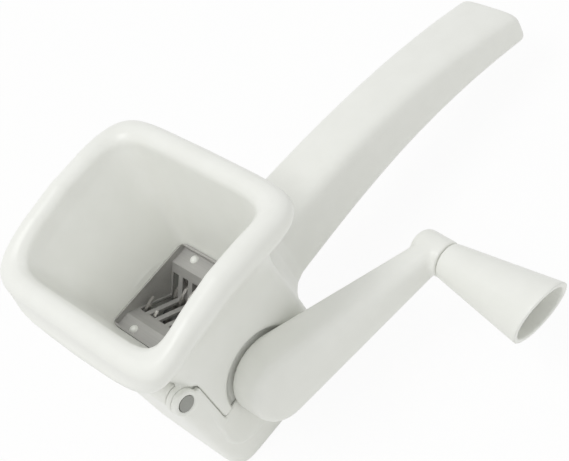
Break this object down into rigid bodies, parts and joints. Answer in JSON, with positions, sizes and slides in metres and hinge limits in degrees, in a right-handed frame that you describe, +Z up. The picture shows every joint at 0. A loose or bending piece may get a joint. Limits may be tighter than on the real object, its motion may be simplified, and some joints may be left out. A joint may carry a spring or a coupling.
{
  "type": "herb mill",
  "caption": "Hand cranked herb mill: rolled-lip hopper and drooping handle in one moulding, slotted steel cutter, claw rotor, swing-down lower shell, crank with hollow cone knob.",
  "frame": {"origin": "middle of the front rail of the base, on the surface that the mill stands on", "axes": "+X along the crank axis, out of the crank side; +Y back along the handle; +Z up through the mouth"},
  "size_m": [0.141, 0.1917, 0.0872],
  "materials": {
    "white_plastic": "satin moulded",
    "steel": "rolled sheet",
    "pin_steel": "dull turned",
    "grey_plastic": "moulded"
  },
  "bodies": {
    "body": {"hopper_body": "white_plastic", "cutter_plate": "steel", "plate_rivets": "white_plastic", "bush_crank_side": "grey_plastic", "bush_far_side": "grey_plastic", "hinge_pin": "pin_steel"},
    "shell": {"lower_shell": "white_plastic"},
    "rotor": {"rotor_shaft": "steel", "blade_1": "steel", "blade_2": "steel", "blade_3": "steel", "blade_4": "steel", "blade_5": "steel", "blade_6": "steel", "blade_7": "steel", "blade_8": "steel", "spacer_1": "grey_plastic", "spacer_2": "grey_plastic", "spacer_3": "grey_plastic", "spacer_4": "grey_plastic", "spacer_5": "grey_plastic", "spacer_6": "grey_plastic", "spacer_7": "grey_plastic", "spacer_8": "grey_plastic", "spacer_9": "grey_plastic", "end_clip": "steel", "thrust_washer": "grey_plastic", "crank_arm": "white_plastic"},
    "knob": {"knob": "white_plastic"}
  },
  "joints": [
    {"name": "crank_spin", "type": "hinge", "parent": "body", "child": "rotor", "pos_m": [0, 0.0227, 0.0254], "axis": [1, 0, 0], "continuous": true},
    {"name": "knob_spin", "type": "hinge", "parent": "rotor", "child": "knob", "pos_m": [0.0572, 0.08167, 0.03066], "axis": [0.9957, -0.0396, -0.0841], "continuous": true},
    {"name": "shell_swing", "type": "hinge", "parent": "body", "child": "shell", "pos_m": [0, -0.0027, 0.0443], "axis": [-1, 0, 0], "range_deg": [0, 90]}
  ]
}
